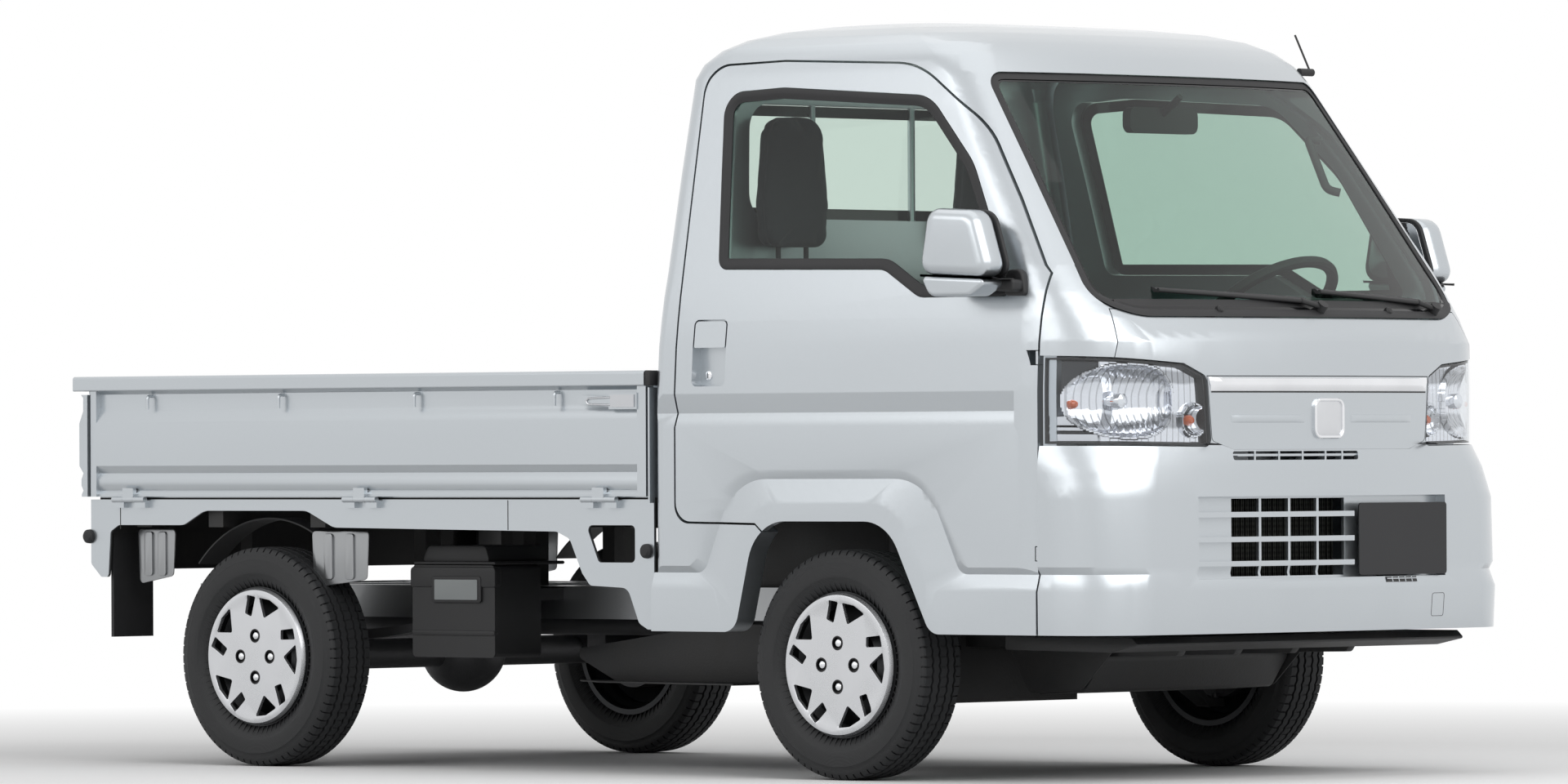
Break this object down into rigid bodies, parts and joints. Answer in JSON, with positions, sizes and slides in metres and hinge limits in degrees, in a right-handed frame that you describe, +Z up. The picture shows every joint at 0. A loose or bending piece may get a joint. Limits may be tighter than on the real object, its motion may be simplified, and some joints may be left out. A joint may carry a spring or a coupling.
{
  "type": "kei truck",
  "caption": "Small cab-over pickup truck with a short closed cab, drop-side bed, hinged doors and gates, and steered, turning wheels.",
  "frame": {"origin": "on the ground, below the middle of the truck's bounding box", "axes": "+X forward, +Y to the vehicle's left, +Z up"},
  "size_m": [3.3948, 1.67, 1.743],
  "materials": {
    "paint": "metallic",
    "chassis_black": "satin",
    "glass": "gloss",
    "clear_lens": "gloss",
    "black_plastic": "textured",
    "grey_plastic": "textured",
    "chrome": "polished",
    "lamp_housing": "gloss",
    "red_lens": "gloss",
    "tyre": "matte",
    "wheel_silver": "satin",
    "cast": "rough",
    "aluminium": "rough",
    "fabric": "woven",
    "rubber": "matte",
    "plate": "satin"
  },
  "bodies": {
    "truck": {"antenna": "black_plastic", "battery_box": "black_plastic", "bed_body": "paint", "cab_shell": "paint", "chassis_frame": "chassis_black", "corner_panels": "paint", "cowl_panel": "black_plastic", "dashboard": "grey_plastic", "engine_block": "aluminium", "front_bumper": "paint", "front_suspension": "chassis_black", "fuel_tank": "chassis_black", "headlamp_housings": "lamp_housing", "headlamp_lenses": "clear_lens", "hood_panel": "paint", "interior_mirror": "black_plastic", "mud_flaps": "rubber", "muffler": "cast", "nose_garnish": "chrome", "plate_blank": "plate", "radiator": "aluminium", "rear_axle": "cast", "rear_window": "glass", "seats": "fabric", "tail_lamps": "red_lens", "windshield": "glass", "wipers": "black_plastic"},
    "knuckle_left": {"knuckle_left": "cast"},
    "knuckle_right": {"knuckle_right": "cast"},
    "door_left": {"door_left": "paint", "door_glass_left": "glass", "door_mirror_left": "black_plastic"},
    "door_right": {"door_right": "paint", "door_glass_right": "glass", "door_mirror_right": "black_plastic"},
    "side_gate_left": {"side_gate_left": "paint"},
    "side_gate_right": {"side_gate_right": "paint"},
    "tailgate": {"tailgate": "paint"},
    "steering_wheel": {"steering_wheel": "black_plastic"},
    "wheel_front_left": {"tyre_front_left": "tyre", "wheel_front_left": "wheel_silver", "wheel_cap_front_left": "wheel_silver"},
    "wheel_front_right": {"tyre_front_right": "tyre", "wheel_front_right": "wheel_silver", "wheel_cap_front_right": "wheel_silver"},
    "wheel_rear_left": {"tyre_rear_left": "tyre", "wheel_rear_left": "wheel_silver", "wheel_cap_rear_left": "wheel_silver"},
    "wheel_rear_right": {"tyre_rear_right": "tyre", "wheel_rear_right": "wheel_silver", "wheel_cap_rear_right": "wheel_silver"}
  },
  "joints": [
    {"name": "steer_left", "type": "hinge", "parent": "truck", "child": "knuckle_left", "pos_m": [0.827, 0.612, 0.264], "axis": [0, 0, 1], "range_deg": [-33, 33]},
    {"name": "steer_right", "type": "hinge", "parent": "truck", "child": "knuckle_right", "pos_m": [0.827, -0.612, 0.264], "axis": [0, 0, 1], "range_deg": [-33, 33]},
    {"name": "spin_front_left", "type": "hinge", "parent": "knuckle_left", "child": "wheel_front_left", "pos_m": [0.827, 0.645, 0.264], "axis": [0, 1, 0], "continuous": true},
    {"name": "spin_rear_left", "type": "hinge", "parent": "truck", "child": "wheel_rear_left", "pos_m": [-1.073, 0.645, 0.264], "axis": [0, 1, 0], "continuous": true},
    {"name": "spin_front_right", "type": "hinge", "parent": "knuckle_right", "child": "wheel_front_right", "pos_m": [0.827, -0.645, 0.264], "axis": [0, 1, 0], "continuous": true},
    {"name": "spin_rear_right", "type": "hinge", "parent": "truck", "child": "wheel_rear_right", "pos_m": [-1.073, -0.645, 0.264], "axis": [0, 1, 0], "continuous": true},
    {"name": "turn_steering_wheel", "type": "hinge", "parent": "truck", "child": "steering_wheel", "pos_m": [1.222, 0.33, 1.075], "axis": [-0.6157, 0, 0.788], "range_deg": [-528, 528]},
    {"name": "open_door_left", "type": "hinge", "parent": "truck", "child": "door_left", "pos_m": [1.405, 0.718, 0.8], "axis": [0, 0, -1], "range_deg": [0, 65]},
    {"name": "open_door_right", "type": "hinge", "parent": "truck", "child": "door_right", "pos_m": [1.405, -0.718, 0.8], "axis": [0, 0, 1], "range_deg": [0, 65]},
    {"name": "drop_side_gate_left", "type": "hinge", "parent": "truck", "child": "side_gate_left", "pos_m": [-0.7, 0.73, 0.642], "axis": [-1, 0, 0], "range_deg": [0, 172]},
    {"name": "drop_side_gate_right", "type": "hinge", "parent": "truck", "child": "side_gate_right", "pos_m": [-0.7, -0.73, 0.642], "axis": [1, 0, 0], "range_deg": [0, 172]},
    {"name": "drop_tailgate", "type": "hinge", "parent": "truck", "child": "tailgate", "pos_m": [-1.664, 0, 0.642], "axis": [0, -1, 0], "range_deg": [0, 172]}
  ],
  "couplings": [
    {"joint": "steer_right", "follows": "steer_left", "ratio": 1},
    {"joint": "turn_steering_wheel", "follows": "steer_left", "ratio": 16}
  ]
}
